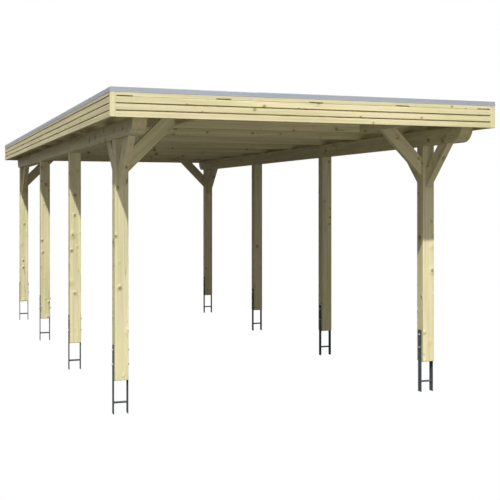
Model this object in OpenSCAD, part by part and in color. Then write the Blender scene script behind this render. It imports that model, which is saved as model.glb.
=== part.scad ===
// Free-standing timber carport with a flat roof on two rows of posts.
// X runs across the roof, Y from the front to the back and Z up.
// The origin is on the ground under the middle of the roof, at the
// level where the legs of the post anchors end.

/* [Roof size] */
// Width of the roof across its side boards
roof_w = 3370; // [2750:10:4200]
// Length of the roof across its end boards
roof_l = 8030; // [6600:10:10000]
// Overhang beside the outer faces of the posts
side_overhang = 185; // [140:5:400]
// Overhang in front of the front posts
front_overhang = 713; // [590:1:900]
// Overhang behind the rear posts
rear_overhang = 302; // [240:1:800]

/* [Posts and beams] */
// Side of the square posts, and width of the beams on them
post_w = 115; // [90:1:150]
// Length of a post
post_h = 2000; // [1600:10:2600]
// Height of a beam
beam_h = 135; // [100:1:170]
// Distance from the faces of the end boards to the ends of the beams
beam_setback = 53; // [40:1:70]
// Gap where two lengths of a beam or of the edge trim meet
butt_gap = 1; // [0.5:0.5:3]

/* [Braces] */
// Width of a brace, across its length
brace_w = 120; // [80:1:145]
// Thickness of a brace
brace_t = 60; // [40:1:85]
// Reach of a long brace along its post and its beam
brace_reach = 388; // [260:1:400]
// Distance from a post's inner face to the block that a cross brace meets
block_inset = 412; // [320:1:520]
// Thickness of a brace block
block_t = 45; // [30:1:70]

/* [Roof frame] */
// Thickness of a rafter
rafter_t = 60; // [40:1:90]
// Height of a rafter
rafter_h = 170; // [120:1:220]
// Distance from an end rafter to the next rafter
end_bay = 1080; // [900:10:1300]
// Longest distance from one inner rafter to the next
longest_bay = 1000; // [700:10:1300]
// Thickness of the roof boarding
deck_t = 21; // [16:1:30]
// Thickness of the roofing membrane
membrane_t = 3; // [1:0.5:5]

/* [Edge boards] */
// Thickness of an edge board
fascia_t = 24; // [16:1:34]
// Height of an edge board
board_h = 45; // [36:1:70]
// Open gap between two edge boards
board_gap = 10; // [4:0.5:12]
// Gap over the third end board, which is closed save for the vent slots
closed_gap = 1; // [0.5:0.5:2]
// Side of the square laths at the corners
lath_w = 45; // [38:1:70]
// Length of a vent slot in the end boards
vent_l = 120; // [60:5:200]
// Number of vent slots in an end
vents = 5; // [2:1:8]
// Wood that is left between a corner lath and the nearest vent slot
vent_margin = 8; // [5:1:60]

/* [Edge trim] */
// Thickness of the folded trim
trim_t = 2; // [1:0.5:4]
// Width of the trim over the roof
trim_w = 70; // [50:1:120]
// Height of the trim's outer leg
trim_h = 38; // [25:1:60]
// Height of the trim above the membrane
trim_rise = 18; // [10:1:24]

/* [Post anchors] */
// Height of a post's foot above the ground
post_lift = 285; // [150:5:400]
// Length of an anchor leg beside its post
anchor_grip = 290; // [150:10:400]
// Width of an anchor leg and of its seat plate
leg_w = 60; // [40:1:80]
// Thickness of an anchor leg and of its seat plate
leg_t = 5; // [4:0.5:8]
// Diameter of the cross bar between the legs
bar_d = 18; // [8:1:20]
// Height of the cross bar above the ground
bar_z = 95; // [30:5:120]

/* [Hidden] */
$fn = 96;

left = -1;
right = 1;
front = -1;
rear = 1;

timber = "#d9cf9c";
steel = "#5b676b";
trim_metal = "#a9b0b8";
felt = "#4b4e50";

// levels, from the ground up
beam_z = post_lift + post_h;
rafter_z = beam_z + beam_h;
deck_z = rafter_z + rafter_h;
membrane_z = deck_z + deck_t;
roof_z = membrane_z + membrane_t;
trim_z = roof_z + trim_rise;

// places in plan, with four posts in a row
half_w = roof_w / 2;
half_l = roof_l / 2;
post_x = half_w - side_overhang - post_w / 2;
post_inner = post_x - post_w / 2;
first_post = front_overhang + post_w / 2 - half_l;
last_post = half_l - rear_overhang - post_w / 2;
post_y = [for (i = [0 : 3]) first_post + i * (last_post - first_post) / 3];
beam_end = half_l - beam_setback;
joint_y = [-beam_end - butt_gap, post_y[1], post_y[2], beam_end + butt_gap];

// the cut ends of a brace at 45 degrees are this long
brace_cut = brace_w * sqrt(2);

// the inner rafters share out the length between the two end bays
end_rafter = half_l - fascia_t - rafter_t / 2;
inner_l = 2 * (end_rafter - end_bay);
inner_bays = ceil(inner_l / longest_bay);
inner_y = [for (i = [0 : inner_bays]) i * inner_l / inner_bays - inner_l / 2];

// as many edge boards as cover the roof frame, the top one flush with the membrane
board_pitch = board_h + board_gap;
boards = ceil((roof_z - rafter_z + board_gap) / board_pitch);
fascia_h = boards * board_pitch - board_gap;
fascia_z = roof_z - fascia_h;
top_board_h = board_h + board_gap - closed_gap;
vent_pitch = (roof_w - 2 * (lath_w + vent_margin) - vent_l) / (vents - 1);

module on_side(side) {
    if (side == left) children();
    else mirror([1, 0, 0]) children();
}

module at_end(end) {
    if (end == front) children();
    else mirror([0, 1, 0]) children();
}

// H anchor: two legs on the side faces of the post, a seat plate and a cross bar
module anchor(side, i) {
    leg_h = post_lift + anchor_grip;
    color(steel) translate([side * post_x, post_y[i], 0]) union() {
        for (s = [-1, 1])
            translate([s * (post_w + leg_t) / 2, 0, leg_h / 2])
                cube([leg_t, leg_w, leg_h], center = true);
        translate([0, 0, post_lift - leg_t / 2])
            cube([post_w + leg_t, leg_w, leg_t], center = true);
        translate([0, 0, bar_z]) rotate([0, 90, 0])
            cylinder(h = post_w + leg_t, d = bar_d, center = true);
    }
}

module post(side, i) {
    color(timber) translate([side * post_x, post_y[i], post_lift + post_h / 2])
        cube([post_w, post_w, post_h], center = true);
}

// side view of a whole beam, rounded up to its top at both ends
module beam_outline() {
    intersection() {
        translate([-beam_end, 0]) square([2 * beam_end, beam_h]);
        union() {
            translate([beam_h - beam_end, 0]) square([2 * (beam_end - beam_h), beam_h]);
            for (end = [front, rear])
                translate([end * (beam_end - beam_h), beam_h]) circle(r = beam_h);
        }
    }
}

// one of the three lengths of a beam, which meet over the middle posts
module beam(side, i) {
    from_y = joint_y[i] + butt_gap / 2;
    to_y = joint_y[i + 1] - butt_gap / 2;
    color(timber) translate([side * post_x, 0, beam_z])
        rotate([90, 0, 90]) linear_extrude(post_w, center = true)
            intersection() {
                beam_outline();
                translate([from_y, 0]) square([to_y - from_y, beam_h]);
            }
}

// brace in the plane of a row, from a post's face up to the beam's underside
module long_brace(side, i, way) {
    color(timber) translate([side * post_x, post_y[i] + way * post_w / 2, beam_z])
        rotate([90, 0, 90]) linear_extrude(brace_t, center = true)
            polygon([
                [0, -brace_reach],
                [0, brace_cut - brace_reach],
                [way * (brace_reach - brace_cut), 0],
                [way * brace_reach, 0]
            ]);
}

// brace across the bay, from a post's inner face up to the face of a brace block
module cross_brace(side, i) {
    on_side(side) color(timber) translate([-post_inner, post_y[i], rafter_z])
        rotate([90, 0, 0]) linear_extrude(brace_t, center = true)
            intersection() {
                polygon([
                    [0, -block_inset],
                    [0, brace_cut - block_inset],
                    [block_inset, brace_cut],
                    [block_inset, 0]
                ]);
                translate([0, -block_inset]) square([block_inset, block_inset + rafter_h]);
            }
}

// blocks between an end rafter and its neighbour, which take the cross braces
module brace_blocks() {
    color(timber) for (side = [left, right], end = [front, rear])
        on_side(side) at_end(end)
            translate([block_inset - post_inner, -end_rafter + rafter_t / 2, rafter_z])
                cube([block_t, end_bay - rafter_t, rafter_h]);
}

module rafter(y, length) {
    translate([0, y, rafter_z + rafter_h / 2]) cube([length, rafter_t, rafter_h], center = true);
}

// the end rafters stand between the corner laths, the others between the side boards
module rafters() {
    color(timber) {
        for (y = inner_y) rafter(y, roof_w - 2 * fascia_t);
        for (end = [front, rear]) rafter(end * end_rafter, roof_w - 2 * lath_w);
    }
}

// plan of the roof inside the edge boards, notched round the corner laths
module roof_plan() {
    difference() {
        square([roof_w - 2 * fascia_t, roof_l - 2 * fascia_t], center = true);
        for (side = [left, right], end = [front, rear])
            translate([side * half_w, end * half_l]) square(2 * lath_w, center = true);
    }
}

module roof_boarding() {
    color(timber) translate([0, 0, deck_z]) linear_extrude(deck_t) roof_plan();
}

module roof_membrane() {
    color(felt) translate([0, 0, membrane_z]) linear_extrude(membrane_t) roof_plan();
}

// end boards: the top one closes the gap under it, save for a row of vent slots
module fascia_end(end) {
    length = roof_w - 2 * lath_w;
    color(timber) at_end(end) translate([0, fascia_t / 2 - half_l, fascia_z]) {
        for (k = [0 : boards - 2])
            translate([0, 0, k * board_pitch + board_h / 2])
                cube([length, fascia_t, board_h], center = true);
        translate([0, 0, fascia_h - top_board_h]) difference() {
            translate([0, 0, top_board_h / 2])
                cube([length, fascia_t, top_board_h], center = true);
            for (v = [0 : vents - 1])
                translate([(v - (vents - 1) / 2) * vent_pitch, 0, 0])
                    cube([vent_l, 2 * fascia_t, 2 * (board_gap - closed_gap)], center = true);
        }
    }
}

// side boards, with every gap open
module fascia_side(side) {
    color(timber) on_side(side) translate([fascia_t / 2 - half_w, 0, fascia_z])
        for (k = [0 : boards - 1])
            translate([0, 0, k * board_pitch + board_h / 2])
                cube([fascia_t, roof_l - 2 * lath_w, board_h], center = true);
}

module corner_laths() {
    color(timber) for (side = [left, right], end = [front, rear])
        on_side(side) at_end(end)
            translate([-half_w, -half_l, fascia_z]) cube([lath_w, lath_w, fascia_h]);
}

// section of the trim: x is measured outwards from the face of the edge boards
module trim_section() {
    translate([0, trim_z - trim_h]) square([trim_t, trim_h]);
    translate([trim_t - trim_w, trim_z - trim_t]) square([trim_w, trim_t]);
    translate([trim_t - trim_w, roof_z]) square([trim_t, trim_rise]);
}

// plan of one mitred length of trim, whose outer edge lies along Y = 0
module mitred_plan(length) {
    half = length / 2;
    polygon([[-half, 0], [half, 0], [half - trim_w, trim_w], [trim_w - half, trim_w]]);
}

module trim_end(end) {
    color(trim_metal) at_end(end) intersection() {
        translate([0, -half_l, 0]) rotate([90, 0, -90])
            linear_extrude(2 * roof_w, center = true) trim_section();
        translate([0, -half_l - trim_t, 0])
            linear_extrude(2 * trim_z) mitred_plan(roof_w + 2 * (trim_t - butt_gap));
    }
}

module trim_side(side) {
    color(trim_metal) on_side(side) intersection() {
        translate([-half_w, 0, 0]) rotate([90, 0, 180])
            linear_extrude(2 * roof_l, center = true) trim_section();
        translate([-half_w - trim_t, 0, 0]) rotate([0, 0, -90])
            linear_extrude(2 * trim_z) mitred_plan(roof_l + 2 * trim_t);
    }
}

anchor(left, 0);  // anchor_left_1
anchor(left, 1);  // anchor_left_2
anchor(left, 2);  // anchor_left_3
anchor(left, 3);  // anchor_left_4
anchor(right, 0);  // anchor_right_1
anchor(right, 1);  // anchor_right_2
anchor(right, 2);  // anchor_right_3
anchor(right, 3);  // anchor_right_4
post(left, 0);  // post_left_1
post(left, 1);  // post_left_2
post(left, 2);  // post_left_3
post(left, 3);  // post_left_4
post(right, 0);  // post_right_1
post(right, 1);  // post_right_2
post(right, 2);  // post_right_3
post(right, 3);  // post_right_4
beam(left, 0);  // beam_left_front
beam(left, 1);  // beam_left_middle
beam(left, 2);  // beam_left_rear
beam(right, 0);  // beam_right_front
beam(right, 1);  // beam_right_middle
beam(right, 2);  // beam_right_rear
long_brace(left, 0, front);  // brace_left_front_outer
long_brace(left, 0, rear);  // brace_left_front_inner
long_brace(left, 3, front);  // brace_left_rear_inner
long_brace(right, 0, front);  // brace_right_front_outer
long_brace(right, 0, rear);  // brace_right_front_inner
long_brace(right, 3, front);  // brace_right_rear_inner
cross_brace(left, 0);  // cross_brace_left_front
cross_brace(left, 3);  // cross_brace_left_rear
cross_brace(right, 0);  // cross_brace_right_front
cross_brace(right, 3);  // cross_brace_right_rear
brace_blocks();
rafters();
roof_boarding();
roof_membrane();
fascia_end(front);  // fascia_front
fascia_end(rear);  // fascia_rear
fascia_side(left);  // fascia_left
fascia_side(right);  // fascia_right
corner_laths();
trim_end(front);  // trim_front
trim_end(rear);  // trim_rear
trim_side(left);  // trim_left
trim_side(right);  // trim_right
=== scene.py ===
import math
import random

import bmesh
import bpy
from mathutils import Matrix, Vector


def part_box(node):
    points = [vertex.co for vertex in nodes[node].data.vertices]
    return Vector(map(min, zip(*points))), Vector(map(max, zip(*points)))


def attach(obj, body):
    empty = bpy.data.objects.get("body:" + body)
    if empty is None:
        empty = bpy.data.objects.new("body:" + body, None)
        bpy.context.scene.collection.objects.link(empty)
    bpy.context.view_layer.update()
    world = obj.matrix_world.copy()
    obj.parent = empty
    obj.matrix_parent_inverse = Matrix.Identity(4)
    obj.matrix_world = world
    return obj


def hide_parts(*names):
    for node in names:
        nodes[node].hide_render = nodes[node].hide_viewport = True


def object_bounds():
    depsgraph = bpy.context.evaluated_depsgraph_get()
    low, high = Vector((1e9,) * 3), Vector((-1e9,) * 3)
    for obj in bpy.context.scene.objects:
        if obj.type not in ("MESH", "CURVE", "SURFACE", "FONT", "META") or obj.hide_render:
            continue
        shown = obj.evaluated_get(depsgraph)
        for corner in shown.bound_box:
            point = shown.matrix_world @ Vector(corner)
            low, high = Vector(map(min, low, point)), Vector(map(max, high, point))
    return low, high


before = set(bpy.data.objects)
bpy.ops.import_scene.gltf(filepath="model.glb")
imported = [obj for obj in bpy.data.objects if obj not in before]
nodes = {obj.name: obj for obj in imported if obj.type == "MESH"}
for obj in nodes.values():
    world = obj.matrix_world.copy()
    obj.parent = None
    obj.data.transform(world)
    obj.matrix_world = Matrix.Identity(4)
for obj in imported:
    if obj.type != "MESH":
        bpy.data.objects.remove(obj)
cadLow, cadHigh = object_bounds()
scene = bpy.context.scene
mm = 0.001
print("frame loaded:", len(nodes), "nodes")


def boxOf(node):
    low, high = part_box(node)
    return low, high, (low + high) / 2


def named(start):
    return sorted(node for node in nodes if node.startswith(start))


def pieceName(node):
    words = node.split("_")
    return words[0] + "".join(word.capitalize() for word in words[1:])


def addObject(name, data):
    made = bpy.data.objects.new(name, data)
    scene.collection.objects.link(made)
    return made


def keepPiece(piece, slot, *stoodFor):
    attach(piece, "root")
    if stoodFor:
        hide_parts(*stoodFor)
    return piece


# short forms for shader nodes
def put(tree, value, socket):
    if isinstance(value, bpy.types.NodeSocket):
        tree.links.new(value, socket)
    else:
        socket.default_value = value


def maths(tree, operation, *values):
    made = tree.nodes.new("ShaderNodeMath")
    made.operation = operation
    for value, socket in zip(values, made.inputs):
        put(tree, value, socket)
    return made.outputs[0]


def vectors(tree, operation, *values):
    made = tree.nodes.new("ShaderNodeVectorMath")
    made.operation = operation
    for value, socket in zip(values, made.inputs):
        put(tree, value, socket)
    return made.outputs["Value" if operation in ("LENGTH", "DOT_PRODUCT") else "Vector"]


def attribute(tree, name, output):
    made = tree.nodes.new("ShaderNodeAttribute")
    made.attribute_name = name
    return made.outputs[output]


def objectPlace(tree):
    return tree.nodes.new("ShaderNodeTexCoord").outputs["Object"]


def noise(tree, place, scale, detail=2.0, rough=0.5, output="Fac"):
    made = tree.nodes.new("ShaderNodeTexNoise")
    put(tree, place, made.inputs["Vector"])
    made.inputs["Scale"].default_value = scale
    made.inputs["Detail"].default_value = detail
    made.inputs["Roughness"].default_value = rough
    return made.outputs[output]


def cells(tree, place, scale):
    made = tree.nodes.new("ShaderNodeTexVoronoi")
    put(tree, place, made.inputs["Vector"])
    made.inputs["Scale"].default_value = scale
    return made.outputs["Distance"], made.outputs["Color"]


def between(tree, value, fromLow, fromHigh, toLow=0.0, toHigh=1.0):
    made = tree.nodes.new("ShaderNodeMapRange")
    made.interpolation_type = "SMOOTHSTEP"
    for value, name in ((value, "Value"), (fromLow, "From Min"), (fromHigh, "From Max"),
                        (toLow, "To Min"), (toHigh, "To Max")):
        put(tree, value, made.inputs[name])
    return made.outputs["Result"]


def blend(tree, share, first, second, mode="MIX"):
    made = tree.nodes.new("ShaderNodeMix")
    made.data_type = "RGBA"
    made.blend_type = mode
    for value, socket in ((share, made.inputs[0]), (first, made.inputs[6]), (second, made.inputs[7])):
        put(tree, (*value, 1) if isinstance(value, tuple) else value, socket)
    return made.outputs[2]


def bump(tree, height, depth, under=None):
    made = tree.nodes.new("ShaderNodeBump")
    made.inputs["Distance"].default_value = depth
    made.inputs["Strength"].default_value = 1.0
    put(tree, height, made.inputs["Height"])
    if under:
        put(tree, under, made.inputs["Normal"])
    return made.outputs["Normal"]


def newMaterial(name, shown):
    material = bpy.data.materials.new(name)
    material.use_nodes = True
    material.diffuse_color = (*shown, 1)
    tree = material.node_tree
    return material, tree, tree.nodes["Principled BSDF"]


# camera and studio
studio = {
    "cameraPlace": (-3.146, -11.259, 1.757),
    "cameraTurn": -0.3418,
    "lens": 70.15,
    "shiftDown": -0.0947,
    "sunFrom": (-0.366, -0.714, 1.0),
    "sunPower": 4.4,
    "sunAngle": 0.02,
    "softbox": {"place": (-0.6, -9.2, 0.5), "aim": (0.0, -3.2, 2.2), "size": (5.0, 1.2), "power": 78.0},
    "skyColour": (0.96, 0.97, 1.0),
    "skyAround": 0.25,
    "skyFront": 0.74,
    "skyToward": (-0.8, -0.6, 0.0),
    "skyRear": 0.6,
    "skyRearToward": (0.6, 0.8, 0.0),
    "skyLow": 0.42,
    "skyHigh": 0.75,
    "skyMirrored": 0.7,
    "floorSize": 60.0,
    "floorColour": (0.0, 0.0, 0.0),
    "floorGlow": 1.0,
    "ground": {"colour": (0.10, 0.098, 0.092), "drop": 2 * mm},
    "backdropRadius": 90.0,
    "backdropSegments": 48,
}


def makeCamera():
    lens = bpy.data.cameras.new("camera")
    lens.sensor_width = 36
    lens.lens = studio["lens"]
    lens.shift_y = studio["shiftDown"]
    camera = addObject("camera", lens)
    camera.location = studio["cameraPlace"]
    camera.rotation_euler = (math.pi / 2, 0, studio["cameraTurn"])
    scene.camera = camera


def makeLights():
    lamp = bpy.data.lights.new("sun", "SUN")
    lamp.energy = studio["sunPower"]
    lamp.angle = studio["sunAngle"]
    sun = addObject("sun", lamp)
    sun.rotation_euler = Vector(studio["sunFrom"]).to_track_quat("Z", "Y").to_euler()
    softbox = studio["softbox"]
    lamp = bpy.data.lights.new("softbox", "AREA")
    lamp.shape = "RECTANGLE"
    lamp.size, lamp.size_y = softbox["size"]
    lamp.energy = softbox["power"]
    fill = addObject("softbox", lamp)
    fill.location = softbox["place"]
    backwards = Vector(softbox["place"]) - Vector(softbox["aim"])
    fill.rotation_euler = backwards.to_track_quat("Z", "Y").to_euler()
    fill.visible_camera = False
    # the sky is brightest high in front, and dim near the horizon
    world = bpy.data.worlds.new("softSky")
    world.use_nodes = True
    tree = world.node_tree
    sky = tree.nodes["Background"]
    direction = tree.nodes.new("ShaderNodeTexCoord").outputs["Generated"]
    facing = vectors(tree, "DOT_PRODUCT", direction, studio["skyToward"])
    upwards = vectors(tree, "DOT_PRODUCT", direction, (0.0, 0.0, 1.0))
    front = maths(tree, "MULTIPLY", maths(tree, "MAXIMUM", facing, 0.0), studio["skyFront"])
    level = between(tree, upwards, 0.0, studio["skyHigh"], studio["skyLow"], 1.0)
    sky.inputs["Color"].default_value = (*studio["skyColour"], 1)
    behind = vectors(tree, "DOT_PRODUCT", direction, studio["skyRearToward"])
    rear = maths(tree, "MULTIPLY", maths(tree, "MAXIMUM", behind, 0.0), studio["skyRear"])
    sides = maths(tree, "ADD", front, rear)
    strength = maths(tree, "MULTIPLY", maths(tree, "ADD", sides, studio["skyAround"]), level)
    mirrored = maths(tree, "MULTIPLY", tree.nodes.new("ShaderNodeLightPath").outputs["Is Glossy Ray"],
                     studio["skyMirrored"])
    put(tree, maths(tree, "MAXIMUM", strength, mirrored), sky.inputs["Strength"])
    scene.world = world
    scene.view_settings.view_transform = "Standard"


def paleGlow(name, diffuse, glow):
    material = bpy.data.materials.new(name)
    material.use_nodes = True
    shader = material.node_tree.nodes["Principled BSDF"]
    shader.inputs["Base Color"].default_value = (*diffuse, 1)
    shader.inputs["Roughness"].default_value = 1
    shader.inputs["Specular IOR Level"].default_value = 0
    shader.inputs["Emission Color"].default_value = (1, 1, 1, 1)
    shader.inputs["Emission Strength"].default_value = glow
    return material


def makeStage():
    # floor and backdrop are seen by the camera only, and the ground sends light back up to the timber
    size = studio["floorSize"]
    floorShape = bmesh.new()
    bmesh.ops.create_grid(floorShape, x_segments=1, y_segments=1, size=size)
    groundShape = floorShape.copy()
    bmesh.ops.translate(groundShape, verts=groundShape.verts, vec=(0, 0, -studio["ground"]["drop"]))
    around = studio["backdropSegments"]
    domeShape = bmesh.new()
    bmesh.ops.create_uvsphere(domeShape, u_segments=around, v_segments=around // 2,
                              radius=studio["backdropRadius"])
    bmesh.ops.reverse_faces(domeShape, faces=domeShape.faces)
    stage = (
        ("floor", floorShape, paleGlow("paleFloor", studio["floorColour"], studio["floorGlow"])),
        ("backdrop", domeShape, paleGlow("paleBackdrop", (0, 0, 0), 1.0)),
        ("ground", groundShape, paleGlow("paleGround", studio["ground"]["colour"], 0.0)),
    )
    for name, shape, material in stage:
        mesh = bpy.data.meshes.new(name)
        shape.to_mesh(mesh)
        shape.free()
        mesh.materials.append(material)
        made = addObject(name, mesh)
        made.visible_camera = name != "ground"
        made.visible_diffuse = name == "ground"
        made.visible_glossy = name == "ground"
        made.visible_transmission = False
        made.visible_shadow = False


makeCamera()
makeLights()
makeStage()
print("camera, light and stage made")


# timber finish: planed spruce with a green-yellow preservative
spruceFrame = {
    "early": (0.72, 0.645, 0.395),
    "late": (0.60, 0.50, 0.27),
    "lateShare": 0.5,
    "ringWidth": 5.5 * mm,
    "ringWander": 34 * mm,
    "tinge": (0.94, 0.985, 0.89),
    "toneLow": 0.955,
    "toneHigh": 1.03,
    "streaks": 0.17,
    "knotCore": (0.29, 0.225, 0.115),
    "knotRim": (0.105, 0.082, 0.042),
    "bigKnot": {"cell": 150 * mm, "radius": 17 * mm, "share": 0.74},
    "smallKnot": {"cell": 90 * mm, "radius": 9 * mm, "share": 0.60},
    "splits": 1.0,
    "endShade": (0.84, 0.79, 0.70),
    "edgeShade": (1.04, 1.03, 1.0),
    "relief": 0.9 * mm,
    "knotSwell": 9 * mm,
    "wanderScale": (3.2, 3.2, 0.55),
    "raggedScale": 85.0,
    "raggedReach": 5 * mm,
    "ringsRoundKnot": 3.4,
    "streakScale": (34.0, 34.0, 0.85),
    "fibreScale": (520.0, 520.0, 11.0),
    "patchScale": (4.5, 4.5, 1.3),
    "knotHalo": (0.94, 0.84, 0.68),
    "haloShare": 0.75,
    "coreShare": 0.86,
    "rimShare": 0.8,
    "splitScale": (24.0, 24.0, 0.5),
    "splitWidth": 0.007,
    "splitPlaces": (6.0, 6.0, 0.9),
    "splitColour": (0.17, 0.12, 0.06),
    "splitShare": 0.6,
    "lateRelief": 0.22,
    "fibreRelief": 0.30,
    "rimRelief": 0.45,
    "smoothest": 0.52,
    "roughest": 0.70,
    "shine": 0.32,
}
spruceEdge = dict(
    spruceFrame,
    ringWidth=4.0 * mm,
    toneLow=0.955,
    toneHigh=1.025,
    bigKnot={"cell": 120 * mm, "radius": 11 * mm, "share": 0.66},
    smallKnot={"cell": 85 * mm, "radius": 8 * mm, "share": 0.56},
    splits=0.35,
    knotSwell=2 * mm,
)
spruceDeck = dict(
    spruceFrame,
    toneLow=0.86,
    toneHigh=1.04,
    bigKnot={"cell": 200 * mm, "radius": 14 * mm, "share": 0.6},
    smallKnot={"cell": 95 * mm, "radius": 7 * mm, "share": 0.5},
    splits=0.5,
)


def knotsIn(tree, place, kind):
    # near is 1 in the middle of a knot and 0 at three radii, core and rim are its two colours' shares
    distance, colour = cells(tree, place, 1 / kind["cell"])
    size = kind["radius"] / kind["cell"]
    kept = maths(tree, "LESS_THAN", colour, kind["share"])
    near = maths(tree, "MULTIPLY", between(tree, distance, 0.0, 3 * size, 1.0, 0.0), kept)
    core = maths(tree, "MULTIPLY", between(tree, distance, 0.82 * size, size, 1.0, 0.0), kept)
    rim = maths(tree, "MULTIPLY", between(tree, distance, 0.98 * size, 1.16 * size, 1.0, 0.0), kept)
    return near, core, maths(tree, "SUBTRACT", rim, core)


def spruce(name, look):
    material, tree, shader = newMaterial(name, look["early"])
    grain = attribute(tree, "grain", "Vector")
    # rings lie round a pith beside the board, and wander along it
    wander = noise(tree, vectors(tree, "MULTIPLY", grain, look["wanderScale"]), 1.0, 2.5, 0.45, "Color")
    sway = vectors(tree, "MULTIPLY", vectors(tree, "SUBTRACT", wander, (0.5, 0.5, 0.5)),
                   (look["ringWander"] * 2, look["ringWander"] * 2, 0.0))
    across = vectors(tree, "ADD", vectors(tree, "MULTIPLY", grain, (1.0, 1.0, 0.0)), sway)
    rough = noise(tree, grain, look["raggedScale"], 2.0, 0.6, "Color")
    reach = look["raggedReach"]
    ragged = vectors(tree, "ADD", vectors(tree, "MULTIPLY", grain, (1.0, 1.0, 0.8)),
                     vectors(tree, "MULTIPLY", rough, (reach, reach, reach)))
    bigNear, bigCore, bigRim = knotsIn(tree, ragged, look["bigKnot"])
    elsewhere = vectors(tree, "ADD", ragged, (0.7, 0.3, 0.9))
    smallNear, smallCore, smallRim = knotsIn(tree, elsewhere, look["smallKnot"])
    near = maths(tree, "MAXIMUM", bigNear, smallNear)
    core = maths(tree, "MAXIMUM", bigCore, smallCore)
    rim = maths(tree, "MAXIMUM", bigRim, smallRim)
    phase = maths(tree, "DIVIDE", vectors(tree, "LENGTH", across), look["ringWidth"])
    phase = maths(tree, "MULTIPLY_ADD", near, look["ringsRoundKnot"], phase)
    turn = maths(tree, "FRACT", phase)
    darkening = between(tree, turn, 0.25, 0.86)
    late = maths(tree, "MULTIPLY", darkening, between(tree, turn, 0.9, 1.0, 1.0, 0.0))
    # streaks as wide as a finger, and fine fibres
    streak = noise(tree, vectors(tree, "MULTIPLY", grain, look["streakScale"]), 1.0, 4.0, 0.6)
    fibre = noise(tree, vectors(tree, "MULTIPLY", grain, look["fibreScale"]), 1.0, 3.0, 0.6)
    patch = noise(tree, vectors(tree, "MULTIPLY", grain, look["patchScale"]), 1.0, 2.0, 0.5)
    colour = blend(tree, maths(tree, "MULTIPLY", late, look["lateShare"]), look["early"], look["late"])
    shade = between(tree, streak, 0.28, 0.72, 1 - look["streaks"], 1 + 0.35 * look["streaks"])
    shade = maths(tree, "MULTIPLY", shade, between(tree, fibre, 0.2, 0.8, 0.92, 1.05))
    tone = between(tree, attribute(tree, "boardTone", "Fac"), 0.0, 1.0, look["toneLow"], look["toneHigh"])
    shade = maths(tree, "MULTIPLY", shade, tone)
    greys = tree.nodes.new("ShaderNodeCombineXYZ")
    for socket in greys.inputs:
        put(tree, shade, socket)
    colour = blend(tree, 1.0, colour, greys.outputs[0], "MULTIPLY")
    colour = blend(tree, between(tree, patch, 0.42, 0.68), colour,
                   blend(tree, 1.0, colour, look["tinge"], "MULTIPLY"))
    warm = blend(tree, 1.0, colour, look["knotHalo"], "MULTIPLY")
    colour = blend(tree, maths(tree, "MULTIPLY", near, look["haloShare"]), colour, warm)
    colour = blend(tree, maths(tree, "MULTIPLY", core, look["coreShare"]), colour, look["knotCore"])
    colour = blend(tree, maths(tree, "MULTIPLY", rim, look["rimShare"]), colour, look["knotRim"])
    # hairline splits that follow the grain
    cleft = noise(tree, vectors(tree, "MULTIPLY", grain, look["splitScale"]), 1.0, 1.5, 0.4)
    cleft = maths(tree, "ABSOLUTE", maths(tree, "SUBTRACT", cleft, 0.5))
    where = noise(tree, vectors(tree, "MULTIPLY", grain, look["splitPlaces"]), 1.0, 1.0)
    thin = between(tree, cleft, 0.0, look["splitWidth"], 1.0, 0.0)
    split = maths(tree, "MULTIPLY", thin, between(tree, where, 0.56, 0.62))
    split = maths(tree, "MULTIPLY", split, look["splits"])
    colour = blend(tree, maths(tree, "MULTIPLY", split, look["splitShare"]), colour, look["splitColour"])
    ends = attribute(tree, "endGrain", "Fac")
    edges = maths(tree, "MULTIPLY", attribute(tree, "easedEdge", "Fac"), between(tree, streak, 0.35, 0.6))
    colour = blend(tree, ends, colour, blend(tree, 1.0, colour, look["endShade"], "MULTIPLY"))
    colour = blend(tree, edges, colour, blend(tree, 1.0, colour, look["edgeShade"], "MULTIPLY"))
    put(tree, colour, shader.inputs["Base Color"])
    roughness = between(tree, fibre, 0.25, 0.75, look["smoothest"], look["roughest"])
    put(tree, roughness, shader.inputs["Roughness"])
    shader.inputs["Specular IOR Level"].default_value = look["shine"]
    height = maths(tree, "MULTIPLY", fibre, look["fibreRelief"])
    height = maths(tree, "MULTIPLY_ADD", late, look["lateRelief"], height)
    height = maths(tree, "SUBTRACT", height, maths(tree, "MULTIPLY", rim, look["rimRelief"]))
    height = maths(tree, "SUBTRACT", height, split)
    swelling = bump(tree, near, look["knotSwell"])
    put(tree, bump(tree, height, look["relief"], swelling), shader.inputs["Normal"])
    return material


frameWood = spruce("spruceFrame", spruceFrame)
edgeWood = spruce("spruceEdge", spruceEdge)
deckWood = spruce("spruceDeck", spruceDeck)


# metal and felt finishes
galvanised = {
    "bright": (0.108, 0.123, 0.128),
    "dull": (0.058, 0.069, 0.073),
    "stain": (0.038, 0.044, 0.046),
    "spangle": 9 * mm,
    "cloudScale": 38.0,
    "fineScale": 620.0,
    "runScale": (60.0, 60.0, 7.2),
    "metallic": 0.1,
    "shine": 0.18,
    "smoothest": 0.60,
    "roughest": 0.85,
    "relief": 0.15 * mm,
}
plated = dict(
    galvanised,
    bright=(0.62, 0.61, 0.56),
    dull=(0.45, 0.44, 0.40),
    stain=(0.30, 0.27, 0.2),
    spangle=3 * mm,
    metallic=0.8,
    shine=0.5,
    smoothest=0.38,
    roughest=0.6,
)


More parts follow.
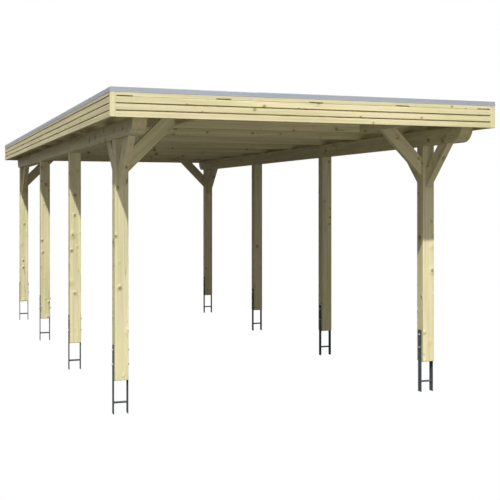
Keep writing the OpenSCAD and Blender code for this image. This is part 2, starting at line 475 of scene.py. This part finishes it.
def zincCoat(name, look):
    material, tree, shader = newMaterial(name, look["dull"])
    place = objectPlace(tree)
    distance, colour = cells(tree, place, 1 / look["spangle"])
    cloud = noise(tree, place, look["cloudScale"], 4.0, 0.62)
    fine = noise(tree, place, look["fineScale"], 2.0, 0.5)
    cloudy = maths(tree, "MULTIPLY", cloud, 0.6)
    flake = maths(tree, "MULTIPLY_ADD", between(tree, colour, 0.1, 0.9), 0.45, cloudy)
    zinc = blend(tree, flake, look["dull"], look["bright"])
    runs = noise(tree, vectors(tree, "MULTIPLY", place, look["runScale"]), 1.0, 3.0, 0.6)
    zinc = blend(tree, between(tree, runs, 0.55, 0.78, 0.0, 0.6), zinc, look["stain"])
    put(tree, zinc, shader.inputs["Base Color"])
    shader.inputs["Metallic"].default_value = look["metallic"]
    shader.inputs["Specular IOR Level"].default_value = look["shine"]
    roughness = between(tree, cloud, 0.3, 0.7, look["smoothest"], look["roughest"])
    put(tree, roughness, shader.inputs["Roughness"])
    height = maths(tree, "MULTIPLY_ADD", fine, 0.4, maths(tree, "MULTIPLY", distance, 0.5))
    put(tree, bump(tree, height, look["relief"]), shader.inputs["Normal"])
    return material


sheetMetal = {
    "colour": (0.335, 0.36, 0.395),
    "chalk": (0.37, 0.395, 0.43),
    "grime": (0.26, 0.275, 0.30),
    "cloudScale": 2.3,
    "runScale": (36.0, 36.0, 4.4),
    "fineScale": 900.0,
    "waveScale": 5.5,
    "metallic": 0.2,
    "coat": 0.15,
    "coatRoughness": 0.35,
    "relief": 0.12 * mm,
}


def coatedSheet(name, look):
    material, tree, shader = newMaterial(name, look["colour"])
    place = objectPlace(tree)
    cloud = noise(tree, place, look["cloudScale"], 4.0, 0.6)
    runs = noise(tree, vectors(tree, "MULTIPLY", place, look["runScale"]), 1.0, 4.0, 0.65)
    fine = noise(tree, place, look["fineScale"], 2.0, 0.5)
    wave = noise(tree, place, look["waveScale"], 1.0, 0.4)
    colour = blend(tree, between(tree, cloud, 0.3, 0.75), look["colour"], look["chalk"])
    colour = blend(tree, between(tree, runs, 0.52, 0.85, 0.0, 0.55), colour, look["grime"])
    put(tree, colour, shader.inputs["Base Color"])
    shader.inputs["Metallic"].default_value = look["metallic"]
    shader.inputs["Coat Weight"].default_value = look["coat"]
    shader.inputs["Coat Roughness"].default_value = look["coatRoughness"]
    put(tree, between(tree, runs, 0.3, 0.8, 0.36, 0.52), shader.inputs["Roughness"])
    height = maths(tree, "MULTIPLY_ADD", wave, 6.0, maths(tree, "MULTIPLY", fine, 0.25))
    put(tree, bump(tree, height, look["relief"]), shader.inputs["Normal"])
    return material


roofingFelt = {
    "stone": (0.115, 0.12, 0.125),
    "pale": (0.21, 0.215, 0.22),
    "dark": (0.055, 0.057, 0.06),
    "granule": 1.6 * mm,
    "pondScale": (1.4, 0.98, 1.4),
    "pondTint": (1.35, 1.33, 1.28),
    "wornScale": 14.0,
    "shine": 0.3,
    "relief": 0.8 * mm,
}


def granuleFelt(name, look):
    material, tree, shader = newMaterial(name, look["stone"])
    place = objectPlace(tree)
    distance, colour = cells(tree, place, 1 / look["granule"])
    ponds = noise(tree, vectors(tree, "MULTIPLY", place, look["pondScale"]), 1.0, 5.0, 0.6)
    worn = noise(tree, place, look["wornScale"], 4.0, 0.6)
    felt = blend(tree, between(tree, colour, 0.35, 0.95), look["dark"], look["pale"])
    felt = blend(tree, 0.5, felt, look["stone"])
    silt = blend(tree, 1.0, felt, look["pondTint"], "MULTIPLY")
    felt = blend(tree, between(tree, ponds, 0.45, 0.7, 0.0, 0.5), felt, silt)
    felt = blend(tree, between(tree, worn, 0.55, 0.75, 0.0, 0.45), felt, look["dark"])
    put(tree, felt, shader.inputs["Base Color"])
    put(tree, between(tree, ponds, 0.3, 0.7, 0.8, 0.95), shader.inputs["Roughness"])
    shader.inputs["Specular IOR Level"].default_value = look["shine"]
    height = maths(tree, "SUBTRACT", maths(tree, "MULTIPLY", worn, 0.8), distance)
    put(tree, bump(tree, height, look["relief"]), shader.inputs["Normal"])
    return material


zinc = zincCoat("galvanisedSteel", galvanised)
brightZinc = zincCoat("platedScrews", plated)
sheet = coatedSheet("edgeSheet", sheetMetal)
felt = granuleFelt("roofingFelt", roofingFelt)
print("materials made:", len(bpy.data.materials))


# timber members, cut from the frame's own solids
easing = {
    "merged": 0.01 * mm,
    "flat": math.radians(1.5),
    "curved": (math.radians(1), math.radians(30)),
    "sharp": math.radians(40),
    "longestFacet": 0.2,
}
heartwood = {
    "nearest": 30 * mm,
    "furthest": 110 * mm,
    "along": (2, 60),
    "squareToGrain": 0.6,
}


def islandsOf(shape):
    seen = set()
    groups = []
    for start in shape.verts:
        if start in seen:
            continue
        seen.add(start)
        group = [start]
        for vert in group:
            for edge in vert.link_edges:
                other = edge.other_vert(vert)
                if other not in seen:
                    seen.add(other)
                    group.append(other)
        groups.append(group)
    return groups


def extent(points):
    low = Vector([min(point[k] for point in points) for k in range(3)])
    high = Vector([max(point[k] for point in points) for k in range(3)])
    return low, high


def ordered(groups):
    def key(group):
        low, high = extent([vert.co for vert in group])
        return [round(value, 3) for value in low + high]
    return sorted(groups, key=key)


def solidShape(node):
    # a merged copy of the node's mesh, with its flat faces whole again
    shape = bmesh.new()
    shape.from_mesh(nodes[node].data)
    bmesh.ops.remove_doubles(shape, verts=shape.verts, dist=easing["merged"])
    bmesh.ops.dissolve_limit(shape, angle_limit=easing["flat"], verts=shape.verts, edges=shape.edges)
    return shape


def solidBoxes(node):
    shape = solidShape(node)
    boxes = [extent([vert.co.copy() for vert in group]) for group in ordered(islandsOf(shape))]
    shape.free()
    return boxes


def easeEdges(shape, width, segments):
    # rounds every sharp edge, and marks the strips that this makes
    least, most = easing["curved"]
    for face in shape.faces:
        bends = [edge.calc_face_angle(0.0) for edge in face.edges]
        longest = max(edge.calc_length() for edge in face.edges)
        face.smooth = longest < easing["longestFacet"] and any(least < bend < most for bend in bends)
    mark = shape.faces.layers.float.new("easedEdge")
    sharp = [edge for edge in shape.edges if edge.calc_face_angle(0.0) > easing["sharp"]]
    made = bmesh.ops.bevel(shape, geom=sharp, offset=width, segments=segments, profile=0.5,
                           affect="EDGES", clamp_overlap=True)
    for face in made["faces"]:
        face[mark] = 1.0
        face.smooth = True


def layGrain(shape, along, chance):
    # stores each board's own coordinates, with the pith beside its middle and the grain along Z
    along = Vector(along).normalized()
    side = along.orthogonal().normalized()
    turn = Matrix((side, along.cross(side), along))
    grain = shape.verts.layers.float_vector.new("grain")
    tone = shape.verts.layers.float.new("boardTone")
    ends = shape.faces.layers.float.new("endGrain")
    for group in ordered(islandsOf(shape)):
        low, high = extent([vert.co for vert in group])
        angle = chance.uniform(0, math.tau)
        reach = chance.uniform(heartwood["nearest"], heartwood["furthest"])
        start = chance.uniform(*heartwood["along"])
        pith = Vector((reach * math.cos(angle), reach * math.sin(angle), start))
        share = chance.random()
        for vert in group:
            vert[grain] = turn @ (vert.co - (low + high) / 2) + pith
            vert[tone] = share
    for face in shape.faces:
        face[ends] = 1.0 if abs(face.normal.dot(along)) > heartwood["squareToGrain"] else 0.0


def shapeToObject(shape, name, material):
    mesh = bpy.data.meshes.new(name)
    shape.normal_update()
    shape.to_mesh(mesh)
    shape.free()
    mesh.materials.append(material)
    return addObject(name, mesh)


def timber(node, along, cut, material):
    shape = solidShape(node)
    easeEdges(shape, cut["edge"], cut["segments"])
    shape.normal_update()
    layGrain(shape, along, random.Random(node))
    piece = shapeToObject(shape, pieceName(node), material)
    return keepPiece(piece, cut["slot"], node)


posts = {"edge": 4 * mm, "segments": 3, "slot": "timber"}
for node in named("post_"):
    timber(node, (0, 0, 1), posts, frameWood)

beams = {"edge": 4 * mm, "segments": 3, "slot": "timber"}
for node in named("beam_"):
    timber(node, (0, 1, 0), beams, frameWood)

braces = {"edge": 3 * mm, "segments": 3, "slot": "timber"}


def wayOf(node):
    # sideways direction in which a brace leaves its post
    row = "left" if "left" in node else "right"
    number = "1" if "front" in node else "4"
    middle = boxOf(node)[2]
    step = middle - boxOf(f"post_{row}_{number}")[2]
    if node.startswith("cross"):
        return Vector((math.copysign(1, step.x), 0, 0))
    return Vector((0, math.copysign(1, step.y), 0))


for node in named("brace_left") + named("brace_right") + named("cross_brace"):
    timber(node, wayOf(node) + Vector((0, 0, 1)), braces, frameWood)

blocks = {"edge": 2.5 * mm, "segments": 2, "slot": "timber"}
timber("brace_blocks", (0, 1, 0), blocks, frameWood)

rafters = {"edge": 3 * mm, "segments": 3, "slot": "timber"}
timber("rafters", (1, 0, 0), rafters, frameWood)

edgeBoards = {"edge": 2.2 * mm, "segments": 3, "slot": "edge_boards"}
for node in ("fascia_front", "fascia_rear"):
    timber(node, (1, 0, 0), edgeBoards, edgeWood)
for node in ("fascia_left", "fascia_right"):
    timber(node, (0, 1, 0), edgeBoards, edgeWood)

laths = {"edge": 2.5 * mm, "segments": 3, "slot": "edge_boards"}
timber("corner_laths", (0, 0, 1), laths, edgeWood)
print("timber members cut")


# geometry node groups
def newGroup(name, inputs):
    tree = bpy.data.node_groups.new(name, "GeometryNodeTree")
    tree.interface.new_socket("Geometry", in_out="INPUT", socket_type="NodeSocketGeometry")
    keys = {}
    for label, kind in inputs:
        keys[label] = tree.interface.new_socket(label, in_out="INPUT", socket_type=kind).identifier
    tree.interface.new_socket("Geometry", in_out="OUTPUT", socket_type="NodeSocketGeometry")
    source = tree.nodes.new("NodeGroupInput")
    target = tree.nodes.new("NodeGroupOutput")
    return tree, keys, source, target


def geo(tree, kind, settings=None, **values):
    made = tree.nodes.new(kind)
    for name, value in (settings or {}).items():
        setattr(made, name, value)
    for name, value in values.items():
        put(tree, value, next(s for s in made.inputs if s.name == name.replace("_", " ") and s.enabled))
    return made


def outOf(made, name):
    return next(socket for socket in made.outputs if socket.name == name and socket.enabled)


def grow(name, base, group, values):
    tree, keys = group
    holder = addObject(name + "Maker", base)
    modifier = holder.modifiers.new("grow", "NODES")
    modifier.node_group = tree
    for label, value in values.items():
        modifier[keys[label]] = value
    bpy.context.view_layer.update()
    evaluated = holder.evaluated_get(bpy.context.evaluated_depsgraph_get())
    mesh = bpy.data.meshes.new_from_object(evaluated)
    bpy.data.objects.remove(holder)
    mesh.name = name
    return addObject(name, mesh)


grainShift = {"least": (-0.02, -0.02, 0.0), "most": (0.05, 0.05, 40.0)}


def rowGroup():
    # repeats a part along a line, and gives each copy its own place in the grain
    tree, keys, source, target = newGroup("rowOfParts", (
        ("Part", "NodeSocketObject"), ("Count", "NodeSocketInt"), ("Start", "NodeSocketVector"),
        ("Step", "NodeSocketVector"), ("Seed", "NodeSocketInt"), ("Material", "NodeSocketMaterial")))
    part = geo(tree, "GeometryNodeObjectInfo", {"transform_space": "ORIGINAL"},
               Object=source.outputs["Part"])
    line = geo(tree, "GeometryNodeMeshLine", {"mode": "OFFSET"}, Count=source.outputs["Count"],
               Start_Location=source.outputs["Start"], Offset=source.outputs["Step"])
    copies = geo(tree, "GeometryNodeInstanceOnPoints", None, Points=outOf(line, "Mesh"),
                 Instance=outOf(part, "Geometry"))
    chance = geo(tree, "FunctionNodeRandomValue", {"data_type": "FLOAT_VECTOR"},
                 Min=grainShift["least"], Max=grainShift["most"], Seed=source.outputs["Seed"],
                 ID=tree.nodes.new("GeometryNodeInputIndex").outputs[0])
    onCopies = {"data_type": "FLOAT_VECTOR", "domain": "INSTANCE"}
    marked = geo(tree, "GeometryNodeStoreNamedAttribute", onCopies,
                 Geometry=outOf(copies, "Instances"), Name="rowShift", Value=outOf(chance, "Value"))
    plain = geo(tree, "GeometryNodeRealizeInstances", None, Geometry=outOf(marked, "Geometry"))
    grain = geo(tree, "GeometryNodeInputNamedAttribute", {"data_type": "FLOAT_VECTOR"}, Name="grain")
    shift = geo(tree, "GeometryNodeInputNamedAttribute", {"data_type": "FLOAT_VECTOR"}, Name="rowShift")
    tone = geo(tree, "GeometryNodeInputNamedAttribute", {"data_type": "FLOAT"}, Name="boardTone")
    moved = vectors(tree, "ADD", outOf(grain, "Attribute"), outOf(shift, "Attribute"))
    parts = tree.nodes.new("ShaderNodeSeparateXYZ")
    tree.links.new(outOf(shift, "Attribute"), parts.inputs[0])
    fresh = maths(tree, "FRACT", maths(tree, "ADD", outOf(tone, "Attribute"), parts.outputs["Z"]))
    onCorners = {"data_type": "FLOAT_VECTOR", "domain": "POINT"}
    grained = geo(tree, "GeometryNodeStoreNamedAttribute", onCorners,
                  Geometry=outOf(plain, "Geometry"), Name="grain", Value=moved)
    toned = geo(tree, "GeometryNodeStoreNamedAttribute", {"data_type": "FLOAT", "domain": "POINT"},
                Geometry=outOf(grained, "Geometry"), Name="boardTone", Value=fresh)
    last = geo(tree, "GeometryNodeSetMaterial", None, Geometry=outOf(toned, "Geometry"),
               Material=source.outputs["Material"])
    tree.links.new(outOf(last, "Geometry"), target.inputs["Geometry"])
    return tree, keys


def fastenerGroup():
    # sets a head on every point, turned to the point's facing and spun at random
    tree, keys, source, target = newGroup("headsOnPoints", (
        ("Head", "NodeSocketObject"), ("Seed", "NodeSocketInt"), ("Material", "NodeSocketMaterial")))
    head = geo(tree, "GeometryNodeObjectInfo", {"transform_space": "ORIGINAL"},
               Object=source.outputs["Head"])
    facing = geo(tree, "GeometryNodeInputNamedAttribute", {"data_type": "FLOAT_VECTOR"}, Name="facing")
    aligned = geo(tree, "FunctionNodeAlignRotationToVector", {"axis": "Z"},
                  Vector=outOf(facing, "Attribute"))
    chance = geo(tree, "FunctionNodeRandomValue", {"data_type": "FLOAT"}, Min=0.0, Max=math.tau,
                 Seed=source.outputs["Seed"], ID=tree.nodes.new("GeometryNodeInputIndex").outputs[0])
    spin = tree.nodes.new("ShaderNodeCombineXYZ")
    tree.links.new(outOf(chance, "Value"), spin.inputs["Z"])
    turned = geo(tree, "FunctionNodeRotateRotation", {"rotation_space": "LOCAL"},
                 Rotation=outOf(aligned, "Rotation"), Rotate_By=spin.outputs[0])
    copies = geo(tree, "GeometryNodeInstanceOnPoints", None, Points=source.outputs["Geometry"],
                 Instance=outOf(head, "Geometry"), Rotation=outOf(turned, "Rotation"))
    plain = geo(tree, "GeometryNodeRealizeInstances", None, Geometry=outOf(copies, "Instances"))
    last = geo(tree, "GeometryNodeSetMaterial", None, Geometry=outOf(plain, "Geometry"),
               Material=source.outputs["Material"])
    tree.links.new(outOf(last, "Geometry"), target.inputs["Geometry"])
    return tree, keys


rowOfParts = rowGroup()
headsOnPoints = fastenerGroup()


def pointMesh(name, spots):
    # spots are (place, facing) pairs
    shape = bmesh.new()
    facing = shape.verts.layers.float_vector.new("facing")
    for place, direction in spots:
        vert = shape.verts.new(place)
        vert[facing] = Vector(direction).normalized()
    mesh = bpy.data.meshes.new(name)
    shape.to_mesh(mesh)
    shape.free()
    return mesh


def turnedHead(name, rings, sides):
    # a small lathe-turned part: rings are (radius, height) pairs from the rim inwards
    shape = bmesh.new()
    loops = []
    turns = [k * math.tau / sides for k in range(sides)]
    for radius, height in rings:
        loops.append([shape.verts.new((radius * math.cos(turn), radius * math.sin(turn), height))
                      for turn in turns])
    for outer, inner in zip(loops, loops[1:]):
        for k in range(sides):
            shape.faces.new((outer[k], outer[(k + 1) % sides], inner[(k + 1) % sides], inner[k]))
    shape.faces.new(loops[-1])
    shape.faces.new(list(reversed(loops[0])))
    mesh = bpy.data.meshes.new(name)
    shape.to_mesh(mesh)
    shape.free()
    return addObject(name, mesh)


# tongue-and-groove roof boarding
boarding = {
    "boardWidth": 95 * mm,
    "vee": 4 * mm,
    "joint": 1.5 * mm,
    "seam": 0.3 * mm,
    "jointRafters": ((2, 5), (3, 6)),
    "seeds": (11, 23),
}


def boardRun(name, width, height, ends):
    # boards laid end to end in one row, with a vee along both lower edges
    vee = boarding["vee"]
    half = (width - boarding["seam"]) / 2
    outline = [(-half, vee), (-half + vee, 0), (half - vee, 0), (half, vee),
               (half, height), (-half, height)]
    shape = bmesh.new()
    for start, stop in zip(ends, ends[1:]):
        loops = [[shape.verts.new((x, y, z)) for x, z in outline]
                 for y in (start + boarding["joint"] / 2, stop - boarding["joint"] / 2)]
        for k in range(len(outline)):
            after = (k + 1) % len(outline)
            shape.faces.new((loops[0][k], loops[0][after], loops[1][after], loops[1][k]))
        shape.faces.new(list(reversed(loops[0])))
        shape.faces.new(loops[1])
    bmesh.ops.recalc_face_normals(shape, faces=shape.faces)
    layGrain(shape, (0, 1, 0), random.Random(name))
    mesh = bpy.data.meshes.new(name)
    shape.to_mesh(mesh)
    shape.free()
    return addObject(name, mesh)


def layBoarding():
    low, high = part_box("roof_boarding")
    lathDepth = solidBoxes("corner_laths")[0][1].y - low.y   # the boards stop at the corner laths
    width = high.x - low.x
    rows = round(width / boarding["boardWidth"])
    pitch = width / rows
    rafterLines = sorted((start.y + stop.y) / 2 for start, stop in solidBoxes("rafters"))
    made = []
    for k, picked in enumerate(boarding["jointRafters"]):
        ends = [low.y + lathDepth] + [rafterLines[i] for i in picked] + [high.y - lathDepth]
        run = boardRun(f"boardRun{k}", pitch, high.z - low.z, ends)
        count = (rows - k + 1) // 2
        made.append(grow(f"roofBoarding{k}", bpy.data.meshes.new("none"), rowOfParts, {
            "Part": run, "Count": count, "Start": (low.x + (k + 0.5) * pitch, 0, low.z),
            "Step": (2 * pitch, 0, 0), "Seed": boarding["seeds"][k], "Material": deckWood}))
        bpy.data.objects.remove(run)
    for piece in made:
        keepPiece(piece, "timber", "roof_boarding")
    print("roof boarding laid in", rows, "rows")


layBoarding()


# roofing felt in lapped lanes across the roof
feltLanes = {
    "laneWidth": 0.98,
    "lap": 0.10,
    "thick": 2.6 * mm,
    "ramp": 14 * mm,
    "segments": 40,
    "waver": 1.6 * mm,
    "overlapGap": 0.3 * mm,
    "bedding": 0.2 * mm,
    "seed": 5,
    "rowSeed": 3,
}


def feltLane(name, width, length, base):
    # one lane: its rear edge rides up over the next lane
    thick = feltLanes["thick"]
    lap = feltLanes["lap"]
    raised = thick + feltLanes["overlapGap"]
    steps = [(0.0, 0.0), (length - lap - feltLanes["ramp"], 0.0),
             (length - lap, raised), (length, raised)]
    chance = random.Random(feltLanes["seed"])
    shape = bmesh.new()
    previous = None
    for k in range(feltLanes["segments"] + 1):
        x = -width / 2 + k * width / feltLanes["segments"]
        waver = chance.uniform(-1, 1) * feltLanes["waver"]
        loop = []
        for y, lift in steps:
            loop.append(shape.verts.new((x, y + (waver if y == length else 0), base + lift + thick)))
        for y, lift in reversed(steps):
            loop.append(shape.verts.new((x, y + (waver if y == length else 0), base + lift)))
        if previous:
            for i in range(len(loop)):
                after = (i + 1) % len(loop)
                shape.faces.new((previous[i], previous[after], loop[after], loop[i]))
        else:
            shape.faces.new(list(reversed(loop)))
        previous = loop
    shape.faces.new(previous)
    bmesh.ops.recalc_face_normals(shape, faces=shape.faces)
    mesh = bpy.data.meshes.new(name)
    shape.to_mesh(mesh)
    shape.free()
    return addObject(name, mesh)


def layFelt():
    low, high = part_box("roof_membrane")
    lathDepth = solidBoxes("corner_laths")[0][1].y - low.y
    reach = high.y - low.y - 2 * lathDepth
    count = round((reach - feltLanes["lap"]) / (feltLanes["laneWidth"] - feltLanes["lap"]))
    pitch = (reach - feltLanes["lap"]) / count
    bed = low.z + feltLanes["bedding"]
    lane = feltLane("feltLane", high.x - low.x, pitch + feltLanes["lap"], bed)
    piece = grow("roofFelt", bpy.data.meshes.new("none"), rowOfParts, {
        "Part": lane, "Count": count, "Start": (0, low.y + lathDepth, 0), "Step": (0, pitch, 0),
        "Seed": feltLanes["rowSeed"], "Material": felt})
    bpy.data.objects.remove(lane)
    keepPiece(piece, "membrane", "roof_membrane")
    print("felt laid in", count, "lanes")


layFelt()


# folded metal trim round the roof's edge
trim = {
    "sheet": 1.2 * mm,
    "bend": 4 * mm,
    "drip": 6 * mm,
    "dripKick": 0.7 * mm,
    "arcSteps": 5,
    "below": 0.5 * mm,
    "slot": "trim_metal",
}


def trimSection(width, height, innerFoot):
    # (distance inwards from the outer face, height above the outer leg's foot) in the sheet's middle
    half = trim["sheet"] / 2
    bend = trim["bend"]
    face = half + trim["dripKick"]
    top = height - half - trim["below"]
    points = [(face - trim["dripKick"], 0.0), (face, trim["drip"]), (face, top - bend)]
    turns = [k * math.pi / 2 / trim["arcSteps"] for k in range(trim["arcSteps"] + 1)]
    points += [(face + bend * (1 - math.cos(turn)), top - bend * (1 - math.sin(turn)))
               for turn in turns[1:]]
    back = width - half
    points += [(back - bend + bend * math.sin(turn), top - bend * (1 - math.cos(turn)))
               for turn in turns]
    points.append((back, innerFoot))
    return points


def bentSheet(section, half, outward, faceAt, foot):
    # a strip of the section's points, cut to a mitre at both ends
    along = Vector((0, 0, 1)).cross(outward)
    shape = bmesh.new()
    loops = []
    for end in (-1, 1):
        loops.append([shape.verts.new(along * (end * (half - inwards)) - outward * inwards
                                      + outward * faceAt + Vector((0, 0, foot + height)))
                      for inwards, height in section])
    for k in range(len(section) - 1):
        face = shape.faces.new((loops[0][k], loops[1][k], loops[1][k + 1], loops[0][k + 1]))
        face.smooth = 2 <= k < len(section) - 2
    return shape


def finishSheet(shape, name):
    mesh = bpy.data.meshes.new(name)
    bmesh.ops.recalc_face_normals(shape, faces=shape.faces)
    shape.to_mesh(mesh)
    shape.free()
    mesh.materials.append(sheet)
    piece = addObject(name, mesh)
    skin = piece.modifiers.new("sheet", "SOLIDIFY")
    skin.thickness = trim["sheet"]
    skin.offset = 0
    skin.use_even_offset = True
    return piece


def foldTrim(node, outward):
    low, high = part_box(node)
    outward = Vector(outward)
    axis = 0 if outward.x else 1
    width = high[axis] - low[axis]
    half = (high[1 - axis] - low[1 - axis]) / 2
    faceAt = abs(high[axis] if outward[axis] > 0 else low[axis])
    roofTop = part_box("roof_membrane")[1].z
    section = trimSection(width, high.z - low.z, roofTop - low.z)
    shape = bentSheet(section, half, outward, faceAt, low.z)
    piece = finishSheet(shape, pieceName(node))
    keepPiece(piece, trim["slot"], node)


trimSides = (("front", (0, -1, 0)), ("rear", (0, 1, 0)), ("left", (-1, 0, 0)), ("right", (1, 0, 0)))
for side, outward in trimSides:
    foldTrim("trim_" + side, outward)
print("trim folded")


# post anchors with welds and bolts
anchors = {"edge": 0.8 * mm, "segments": 2, "slot": "galvanised_steel"}
for node in named("anchor_"):
    shape = solidShape(node)
    easeEdges(shape, anchors["edge"], anchors["segments"])
    piece = shapeToObject(shape, pieceName(node), zinc)
    keepPiece(piece, anchors["slot"], node)

bolts = {
    "headRadius": 9.4 * mm,
    "headHeight": 6 * mm,
    "washerRadius": 12 * mm,
    "washerHeight": 2 * mm,
    "washerEdge": 0.3 * mm,
    "washerSides": 20,
    "bite": 0.3 * mm,
    "chamfer": 1 * mm,
    "crown": 0.86,
    "endRadius": 5 * mm,
    "endLength": 4 * mm,
    "endChamfer": 0.8 * mm,
    "endSides": 12,
    "plainTop": 0.2 * mm,
    "fromTop": (45 * mm, 165 * mm),
    "seed": 7,
}


def hexHead(name, endRadius, endHeight):
    # washer, hexagon with a turned chamfer, and the bolt's end where a nut sits
    washer = bolts["washerHeight"]
    rim = bolts["washerRadius"]
    edge = bolts["washerEdge"]
    top = washer + bolts["headHeight"]
    shoulder = top - bolts["chamfer"]
    radius = bolts["headRadius"]
    cut = bolts["endChamfer"]
    disc = turnedHead(name + "Disc", [(rim, -bolts["bite"]), (rim, washer - edge), (rim - edge, washer)],
                      bolts["washerSides"])
    crown = (radius * bolts["crown"], top)
    nut = turnedHead(name + "Nut", [(radius, washer), (radius, shoulder), crown], 6)
    end = turnedHead(name + "End", [(endRadius, shoulder), (endRadius, top + endHeight - cut),
                                    (endRadius - cut, top + endHeight)], bolts["endSides"])
    shape = bmesh.new()
    for part in (disc, nut, end):
        shape.from_mesh(part.data)
        bpy.data.objects.remove(part)
    mesh = bpy.data.meshes.new(name)
    shape.to_mesh(mesh)
    shape.free()
    return addObject(name, mesh)


def boltAnchors():
    heads, nuts = [], []
    for node in named("anchor_"):
        low, high, middle = boxOf(node)
        outside = math.copysign(1, middle.x)
        for drop in bolts["fromTop"]:
            for side in (-1, 1):
                place = Vector((high.x if side > 0 else low.x, middle.y, high.z - drop))
                (heads if side == outside else nuts).append((place, (side, 0, 0)))
    head = hexHead("boltHead", bolts["headRadius"] / 2, bolts["plainTop"])
    nut = hexHead("boltNut", bolts["endRadius"], bolts["endLength"])
    for name, spots, part in (("anchorBoltHeads", heads, head), ("anchorBoltNuts", nuts, nut)):
        piece = grow(name, pointMesh(name, spots), headsOnPoints,
                     {"Head": part, "Seed": bolts["seed"], "Material": brightZinc})
        keepPiece(piece, "galvanised_steel")
    bpy.data.objects.remove(head)
    bpy.data.objects.remove(nut)
    print("anchor bolts set:", len(heads) + len(nuts))


boltAnchors()

welds = {
    "bead": 2.6 * mm,
    "profile": ((1.0, -0.4), (1.0, 0.0), (0.72, 0.5), (0.3, 0.72)),
    "sides": 8,
    "step": 3.2 * mm,
    "ringBeads": 14,
    "steel": 5 * mm,
    "fromEdge": 4 * mm,
    "nearEnds": 20 * mm,
    "seed": 9,
}


def barOf(node):
    # between the legs' ends and the seat plate an anchor has no corners but its bar's
    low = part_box(node)[0]
    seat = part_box(node.replace("anchor", "post"))[0].z
    rims = [vert.co for vert in nodes[node].data.vertices
            if low.z + welds["nearEnds"] < vert.co.z < seat - welds["nearEnds"]]
    barLow, barHigh = extent(rims)
    return (barLow.z + barHigh.z) / 2, (barHigh.z - barLow.z) / 2


def weldAnchors():
    spots = []
    for node in named("anchor_"):
        low, high, middle = boxOf(node)
        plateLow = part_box(node.replace("anchor", "post"))[0].z - welds["steel"]
        barHeight, barRadius = barOf(node)
        for side in (-1, 1):
            face = (high.x if side > 0 else low.x) - side * welds["steel"]
            beads = int((high.y - low.y - 2 * welds["fromEdge"]) / welds["step"])
            for k in range(beads + 1):
                y = middle.y + (k - beads / 2) * welds["step"]
                spots.append((Vector((face, y, plateLow)), (-side, 0, -1)))
            for k in range(welds["ringBeads"]):
                turn = k * math.tau / welds["ringBeads"]
                across = math.cos(turn)
                up = math.sin(turn)
                place = Vector((face, middle.y + barRadius * across, barHeight + barRadius * up))
                spots.append((place, (-side, across, up)))
    size = welds["bead"]
    rings = [(size * radius, size * height) for radius, height in welds["profile"]]
    bead = turnedHead("weldBead", rings, welds["sides"])
    piece = grow("anchorWelds", pointMesh("anchorWelds", spots), headsOnPoints,
                 {"Head": bead, "Seed": welds["seed"], "Material": zinc})
    bpy.data.objects.remove(bead)
    keepPiece(piece, "galvanised_steel")
    print("weld beads laid:", len(spots), "round bars of radius", round(barRadius / mm, 1), "mm")


weldAnchors()


# countersunk screws in edge boards, laths and braces
screws = {
    "radius": 4 * mm,
    "sunk": 0.4 * mm,
    "rim": 0.3 * mm,
    "proud": 0.25 * mm,
    "recess": 1.7 * mm,
    "recessDepth": 1.2 * mm,
    "recessTaper": 0.9,
    "sides": 12,
    "braceEnd": 58 * mm,
    "braceApart": 15 * mm,
    "boardEnd": 30 * mm,
    "acrossEnd": 6,
    "upLath": (0.18, 0.5, 0.78),
    "seed": 13,
}


def edgeBoardScrews(node, outward, stations):
    axis = 0 if outward.x else 1
    spots = []
    for low, high in solidBoxes(node):
        face = high[axis] if outward[axis] > 0 else low[axis]
        for station in stations:
            place = (low + high) / 2
            place[axis] = face
            first = low[1 - axis] + screws["boardEnd"]
            last = high[1 - axis] - screws["boardEnd"]
            place[1 - axis] = max(first, min(last, station))
            spots.append((place, outward))
    return spots


def braceScrews(node):
    # two heads near each end, on the slanted face that looks down and away from the post
    low, high, middle = boxOf(node)
    way = wayOf(node)
    axis = 0 if way.x else 1
    start = middle.copy()
    start.z = low.z
    start[axis] = low[axis] if way[axis] > 0 else high[axis]
    reach = high[axis] - low[axis]
    spots = []
    for travel in (screws["braceEnd"], reach - screws["braceEnd"]):
        for side in (-1, 1):
            place = start + way * travel + Vector((0, 0, travel))
            place[1 - axis] += side * screws["braceApart"]
            spots.append((place, way - Vector((0, 0, 1))))
    return spots


def driveScrews():
    rafterLines = sorted((low.y + high.y) / 2 for low, high in solidBoxes("rafters"))
    bays = screws["acrossEnd"]
    endStations = [cadLow.x + k * (cadHigh.x - cadLow.x) / bays for k in range(bays + 1)]
    spots = []
    for node, outward in (("fascia_front", (0, -1, 0)), ("fascia_rear", (0, 1, 0))):
        spots += edgeBoardScrews(node, Vector(outward), endStations)
    for node, outward in (("fascia_left", (-1, 0, 0)), ("fascia_right", (1, 0, 0))):
        spots += edgeBoardScrews(node, Vector(outward), rafterLines)
    for low, high in solidBoxes("corner_laths"):
        middle = (low + high) / 2
        end = math.copysign(1, middle.y)
        face = high.y if end > 0 else low.y
        for share in screws["upLath"]:
            spots.append((Vector((middle.x, face, low.z + share * (high.z - low.z))), (0, end, 0)))
    for node in named("brace_left") + named("brace_right") + named("cross_brace"):
        spots += braceScrews(node)
    radius = screws["radius"]
    proud = screws["proud"]
    recess = screws["recess"]
    bottom = (recess * screws["recessTaper"], -screws["recessDepth"])
    rings = [(radius, -screws["sunk"]), (radius, 0.0), (radius - screws["rim"], proud),
             (recess, proud), bottom]
    head = turnedHead("screwHead", rings, screws["sides"])
    piece = grow("screwHeads", pointMesh("screwHeads", spots), headsOnPoints,
                 {"Head": head, "Seed": screws["seed"], "Material": brightZinc})
    bpy.data.objects.remove(head)
    keepPiece(piece, "galvanised_steel")
    print("screws driven:", len(spots))


driveScrews()
